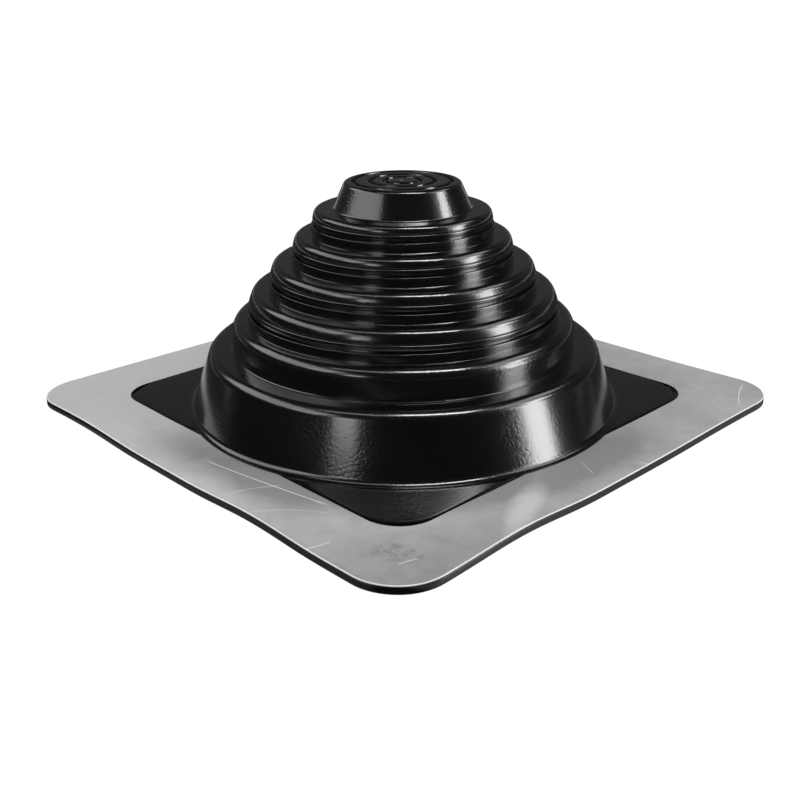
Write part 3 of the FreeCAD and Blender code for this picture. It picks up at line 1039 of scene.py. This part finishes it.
@dataclass
class Studio:
    """Camera, floor, lamps and surroundings, in metres and degrees."""

    azimuth: float = 45.8
    away: float = 0.3749
    height: float = 0.1547
    pitch: float = 22.47
    roll: float = -0.325
    lens: float = 47.682            # millimetres, on a sensor 36 mm wide
    sensor: float = 36.0
    shift: Pair = (-0.00475, -0.000125)
    floor_half: float = 30.0
    floor_glow: float = 1.06
    floor_share: float = 0.93       # share of the glow where the floor is seen, not lit
    table: Pair = (0.07, 2.5)       # half the dark table's hole and half its side
    table_height: float = 0.0003
    table_roughness: float = 0.12
    patch_start: Pair = (0.0995, 0.1025)
    patch_end: Pair = (0.12, 0.11)
    patch_glow: float = 0.2
    backdrop: float = 0.06
    backdrop_side: Pair = (0.3, 0.9)
    backdrop_top: Pair = (0.62, 0.3)
    ceiling: float = 0.015
    ceiling_rise: Pair = (0.0, 0.6)
    room: float = 0.012
    fill: float = 0.7
    softboxes: tuple[Softbox, ...] = (
        Softbox("right_softbox", 72.5, 9.0, 14.0, 26.0, 5.0),
        Softbox("right_glow", 71.5, 13.0, 20.0, 36.0, 2.2),
        Softbox("right_upper", 82.0, 29.0, 14.0, 13.0, 6.6),
        Softbox("right_panel", 93.0, 46.0, 42.0, 16.0, 1.7),
        Softbox("left_panel", -88.0, 37.0, 72.0, 26.0, 1.5),
        Softbox("left_low", -46.0, 27.0, 34.0, 7.0, 1.1),
        Softbox("left_strip", -31.0, 17.5, 12.0, 8.0, 3.2),
        Softbox("left_arc", -51.4, 68.5, 28.0, 8.0, 1.8, 33.5),
        Softbox("overhead_bar", 44.4, 72.2, 28.0, 8.0, 14.5, -51.4),
    )

    def build(self) -> None:
        """Build everything round the part."""
        self.camera()
        self.floor()
        self.dark_table()
        self.world()
        for softbox in self.softboxes:
            softbox.build(self.azimuth)

    def camera(self) -> None:
        """Place the camera at its distance, height, pitch and roll."""
        data = bpy.data.cameras.new("camera")
        data.sensor_width = self.sensor
        data.lens = self.lens
        data.shift_x, data.shift_y = self.shift
        data.clip_start, data.clip_end = 0.01, 100.0
        camera = bpy.data.objects.new("camera", data)
        turn, tilt = math.radians(self.azimuth), math.radians(self.pitch)
        camera.location = (self.away * math.sin(turn), -self.away * math.cos(turn), self.height)
        ahead = Vector((-math.sin(turn) * math.cos(tilt), math.cos(turn) * math.cos(tilt),
                        -math.sin(tilt)))
        look = ahead.to_track_quat("-Z", "Y")
        camera.rotation_mode = "QUATERNION"
        camera.rotation_quaternion = look @ Quaternion((0.0, 0.0, 1.0), math.radians(self.roll))
        bpy.context.scene.collection.objects.link(camera)
        bpy.context.scene.camera = camera

    def floor(self) -> None:
        """Lay a wide floor that is white where it is seen and matt where light falls on it."""
        material = bpy.data.materials.new("pale_floor")
        material.use_nodes = True
        nodes = Nodes(material.node_tree)
        path = nodes.add("ShaderNodeLightPath")
        seen = path.value("Is Camera Ray").maths("MAXIMUM", path.value("Is Glossy Ray"))
        seen = seen.maths("MAXIMUM", path.value("Is Transmission Ray")) * self.floor_share
        matt = nodes.add("ShaderNodeBsdfDiffuse", None, {"Color": (0.8, 0.8, 0.8, 1.0)})
        glow = nodes.add("ShaderNodeEmission", None, {"Strength": self.floor_glow})
        both = nodes.add("ShaderNodeMixShader", None, {0: seen, 1: matt, 2: glow})
        nodes.add("ShaderNodeOutputMaterial", None, {"Surface": both})
        self.sheet("studio_floor", (0.0, self.floor_half), 0.0, material)

    def dark_table(self) -> None:
        """Lay a dark glossy table top round the part, which only reflections show.

        Close to the part's right side it has a pale patch, which lightens the rubber's edge.
        """
        material, nodes, where = new_material("black_card")
        across = nodes.add("ShaderNodeSeparateXYZ", None, {"Vector": where}).value("X")
        patch = across.step(*self.patch_start) * across.step(*self.patch_end)
        finish_material(nodes, base_color=(0.01, 0.01, 0.01, 1.0),
                        roughness=self.table_roughness,
                        emission_color=nodes.blend(patch, (0.0, 0.0, 0.0), (1.0, 1.0, 1.0)),
                        emission_strength=self.patch_glow)
        card = self.sheet("black_card", self.table, self.table_height, material)
        card.visible_camera = False
        card.visible_diffuse = False
        card.visible_transmission = False
        card.visible_shadow = False

    def sheet(self, name: str, halves: Pair, height: float,
              material: bpy.types.Material) -> bpy.types.Object:
        """Lay a flat square with a square hole in its middle.

        Args:
            name: Name of the sheet.
            halves: Half the hole's side and half the sheet's.
            height: Height at which it lies.
            material: Its material.

        Returns:
            The sheet.
        """
        corner = np.array(((-1.0, -1.0), (1.0, -1.0), (1.0, 1.0), (-1.0, 1.0)))
        flat = np.concatenate((corner * max(halves[0], MM), corner * halves[1]))
        points = np.column_stack((flat, np.full(len(flat), height)))
        faces = [(side, side + 4, (side + 1) % 4 + 4, (side + 1) % 4) for side in range(4)]
        mesh = bpy.data.meshes.new(name)
        mesh.from_pydata(points.tolist(), [], faces)
        mesh.materials.append(material)
        laid = bpy.data.objects.new(name, mesh)
        bpy.context.scene.collection.objects.link(laid)
        return laid

    def world(self) -> None:
        """White to the camera, and a dim studio with a pale backdrop in reflections."""
        world = bpy.data.worlds.new("studio")
        bpy.context.scene.world = world
        world.use_nodes = True
        nodes = Nodes(world.node_tree)
        path = nodes.add("ShaderNodeLightPath")
        ray = nodes.add("ShaderNodeTexCoord").socket("Generated")
        turn = math.radians(self.azimuth)
        back = nodes.add("ShaderNodeVectorMath", {"operation": "DOT_PRODUCT"},
                         {0: ray, 1: (-math.sin(turn), math.cos(turn), 0.0)}).value("Value")
        up = nodes.add("ShaderNodeSeparateXYZ", None, {"Vector": ray}).value("Z")
        backdrop = back.step(*self.backdrop_side) * up.step(*self.backdrop_top) * self.backdrop
        room = backdrop + up.step(*self.ceiling_rise) * self.ceiling + self.room
        seen = path.value("Is Camera Ray").maths("MAXIMUM", path.value("Is Transmission Ray"))
        lit = room * path.value("Is Glossy Ray") + path.value("Is Diffuse Ray") * self.fill
        glow = nodes.add("ShaderNodeBackground", None, {
            "Color": (1.0, 1.0, 1.0, 1.0), "Strength": lit + seen})
        nodes.add("ShaderNodeOutputWorld", None, {"Surface": glow})


def main() -> None:
    """Load the frame, build the pieces and the studio, and note the sizes."""
    logging.basicConfig(level=logging.INFO, format="%(name)s: %(message)s")
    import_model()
    for assembly in (RubberBoot(), AluminiumFlange()):
        piece = assembly.build()
        LOG.info("%s: %d corners, %d faces", piece.name, len(piece.data.vertices),
                 len(piece.data.polygons))
    Studio().build()
    bpy.context.scene.view_settings.view_transform = "Standard"


if __name__ == "__main__":
    main()
